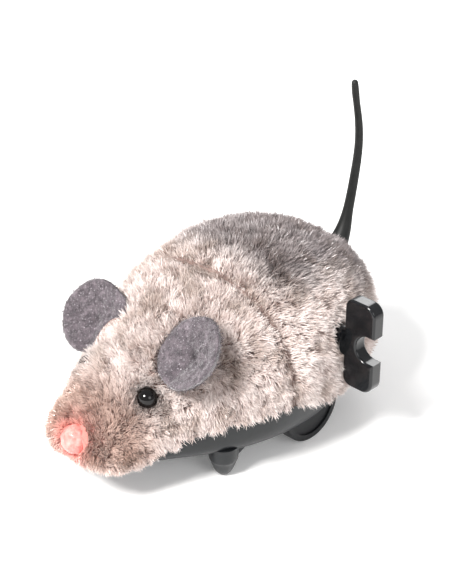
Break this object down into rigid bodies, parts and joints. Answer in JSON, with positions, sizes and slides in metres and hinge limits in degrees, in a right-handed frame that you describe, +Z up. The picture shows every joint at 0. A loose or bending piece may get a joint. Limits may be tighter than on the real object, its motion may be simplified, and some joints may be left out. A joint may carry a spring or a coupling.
{
  "type": "clockwork mouse",
  "caption": "Wind-up mouse: plush skin over a black plastic hull, felt ears, bead eyes, rubber tail, side winding key, geared spring motor and rear drive wheels.",
  "frame": {"origin": "on the floor under the middle of the body, in the plane of symmetry", "axes": "+X forward to the nose, +Y to the left side where the key is, +Z up"},
  "size_m": [0.1025, 0.0692, 0.0772],
  "materials": {
    "hull": "glossy black injection moulding",
    "shell": "black moulding, hidden under the plush",
    "plush": "short shaggy plush, pale pinkish grey-brown",
    "felt": "soft lilac-grey fleece",
    "bead": "polished black bead",
    "nose": "translucent pink bead",
    "rubber": "soft moulded rubber, satin",
    "key": "glossy black moulding",
    "steel": "pressed steel",
    "brass": "cut brass",
    "nylon": "natural nylon",
    "spring_steel": "blued spring steel"
  },
  "bodies": {
    "chassis": {"base": "hull", "body_shell": "shell", "base_screws": "steel", "fur_front": "plush", "fur_rear": "plush", "ear_left": "felt", "ear_right": "felt", "eye_left": "bead", "eye_right": "bead", "nose": "nose", "tail_socket": "shell", "motor_plate_left": "steel", "motor_plate_right": "steel", "motor_pillars": "steel", "motor_screws": "steel", "mainspring": "spring_steel"},
    "winder": {"winding_key": "key", "winding_arbor": "steel", "ratchet_wheel": "steel"},
    "great_wheel": {"main_gear": "brass", "click": "steel", "click_spring": "spring_steel"},
    "second_wheel": {"second_gear": "brass", "second_pinion": "steel", "second_shaft": "steel"},
    "escape": {"escape_wheel": "brass", "escape_pinion": "steel", "escape_shaft": "steel"},
    "pallet_anchor": {"pallet": "steel", "pallet_shaft": "steel"},
    "wheelset": {"rear_axle": "steel", "drive_pinion": "nylon", "wheel_left": "hull", "wheel_right": "hull"},
    "tail": {"tail": "rubber"}
  },
  "joints": [
    {"name": "axle_spin", "type": "hinge", "parent": "chassis", "child": "wheelset", "pos_m": [-0.01, 0, 0.0093], "axis": [0, 1, 0], "continuous": true},
    {"name": "second_wheel_spin", "type": "hinge", "parent": "chassis", "child": "second_wheel", "pos_m": [-0.00601, 0, 0.02062], "axis": [0, 1, 0], "continuous": true},
    {"name": "great_wheel_spin", "type": "hinge", "parent": "chassis", "child": "great_wheel", "pos_m": [-0.0155, 0, 0.0295], "axis": [0, 1, 0], "continuous": true},
    {"name": "escape_spin", "type": "hinge", "parent": "chassis", "child": "escape", "pos_m": [0.00581, 0, 0.0227], "axis": [0, 1, 0], "continuous": true},
    {"name": "key_wind", "type": "hinge", "parent": "chassis", "child": "winder", "pos_m": [-0.0155, 0, 0.0295], "axis": [0, 1, 0], "continuous": true, "deforming": ["mainspring"]},
    {"name": "pallet_rock", "type": "hinge", "parent": "chassis", "child": "pallet_anchor", "pos_m": [0.00581, 0, 0.0309], "axis": [0, 1, 0], "range_deg": [-4, 4]},
    {"name": "tail_sway", "type": "hinge", "parent": "chassis", "child": "tail", "pos_m": [-0.045, 0, 0.0305], "axis": [1, 0, 0], "range_deg": [-20, 20], "stiffness_Nm_per_rad": 0.002}
  ],
  "couplings": [
    {"joint": "second_wheel_spin", "follows": "axle_spin", "ratio": -0.33333},
    {"joint": "great_wheel_spin", "follows": "axle_spin", "ratio": 0.1},
    {"joint": "escape_spin", "follows": "axle_spin", "ratio": 1}
  ]
}
